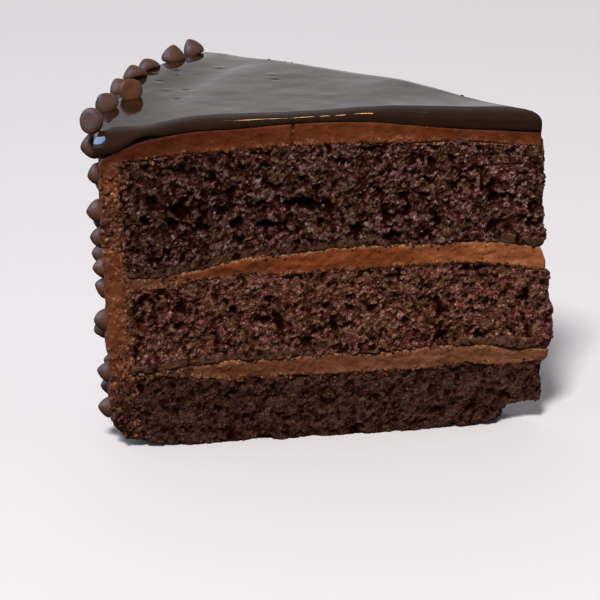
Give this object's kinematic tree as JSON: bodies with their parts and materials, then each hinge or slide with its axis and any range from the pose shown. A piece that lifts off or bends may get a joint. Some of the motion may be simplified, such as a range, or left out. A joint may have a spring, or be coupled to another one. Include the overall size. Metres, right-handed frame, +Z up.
{
  "type": "slice of chocolate cake",
  "caption": "Wedge of layered chocolate sponge cake with cream fillings, a cream coat, a poured glaze on top and chocolate chips on its rim and outer side.",
  "frame": {"origin": "middle of the footprint, on the surface that the slice stands on", "axes": "+Z up; +X from the rim to the tip, along the line that halves the slice; -Y is the side of the near cut face"},
  "size_m": [0.1195, 0.0889, 0.0912],
  "materials": {
    "sponge": "dark chocolate sponge, open crumb, matte",
    "filling": "chocolate cream filling, knife-smeared, satin",
    "cream": "chocolate cream coat, spread with a knife, satin",
    "glaze": "poured dark chocolate glaze, mirror gloss",
    "chips": "chocolate chips, satin"
  },
  "bodies": {
    "root": {"sponge_bottom": "sponge", "sponge_middle": "sponge", "sponge_top": "sponge", "filling_lower": "filling", "filling_upper": "filling", "cream_coat": "cream", "glaze": "glaze"}
  },
  "joints": []
}
